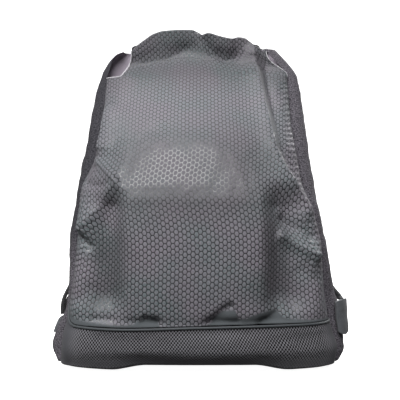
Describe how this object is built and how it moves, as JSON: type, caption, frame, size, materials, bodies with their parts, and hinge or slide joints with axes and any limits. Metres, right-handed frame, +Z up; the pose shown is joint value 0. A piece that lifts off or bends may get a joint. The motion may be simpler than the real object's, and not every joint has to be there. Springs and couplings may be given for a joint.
{
  "type": "drawstring shoe bag",
  "caption": "Stuffed drawstring shoe bag: coated front panel over a mesh base band, woven back panel, hemmed mouth with two drawcords that run down to corner tabs as shoulder cords.",
  "frame": {"origin": "on the ground under the middle of the bag, which stands on its base", "axes": "+Z up, the front panel faces -Y, and +X is to the right of somebody facing the front"},
  "size_m": [0.356, 0.1499, 0.409],
  "materials": {
    "coated_front": "coated grey fabric with a printed honeycomb of long cells and a soft sheen",
    "mesh_band": "dark grey open mesh with small staggered holes",
    "heather_back": "matt mottled grey woven fabric",
    "seam_tape": "dark grey binding tape and piping",
    "tab_fabric": "grey folded fabric, stitched across",
    "drawcord": "black braided polyester cord"
  },
  "bodies": {
    "bag": {"front_panel": "coated_front", "mesh_base_band": "mesh_band", "band_seam_piping": "seam_tape", "back_panel": "heather_back", "back_casing": "heather_back", "bottom_panel": "heather_back", "left_side_binding": "seam_tape", "right_side_binding": "seam_tape", "front_base_binding": "seam_tape", "back_base_binding": "seam_tape", "left_drawcord": "drawcord", "right_drawcord": "drawcord"},
    "front_mouth": {"front_lip": "coated_front", "front_casing": "coated_front"},
    "left_cord_tab": {"left_tab": "tab_fabric"},
    "right_cord_tab": {"right_tab": "tab_fabric"}
  },
  "joints": [
    {"name": "front_lip_tilt", "type": "hinge", "parent": "bag", "child": "front_mouth", "pos_m": [0, 0.0174, 0.348], "axis": [1, 0, 0], "range_deg": [0, 20], "deforming": ["left_drawcord", "right_drawcord"]},
    {"name": "left_tab_fold", "type": "hinge", "parent": "bag", "child": "left_cord_tab", "pos_m": [-0.1735, 0.011, 0.043], "axis": [0, 0, 1], "range_deg": [0, 75], "deforming": ["left_drawcord"]},
    {"name": "right_tab_fold", "type": "hinge", "parent": "bag", "child": "right_cord_tab", "pos_m": [0.1495, -0.0235, 0.056], "axis": [0, 0, -1], "range_deg": [0, 60], "deforming": ["right_drawcord"]}
  ]
}
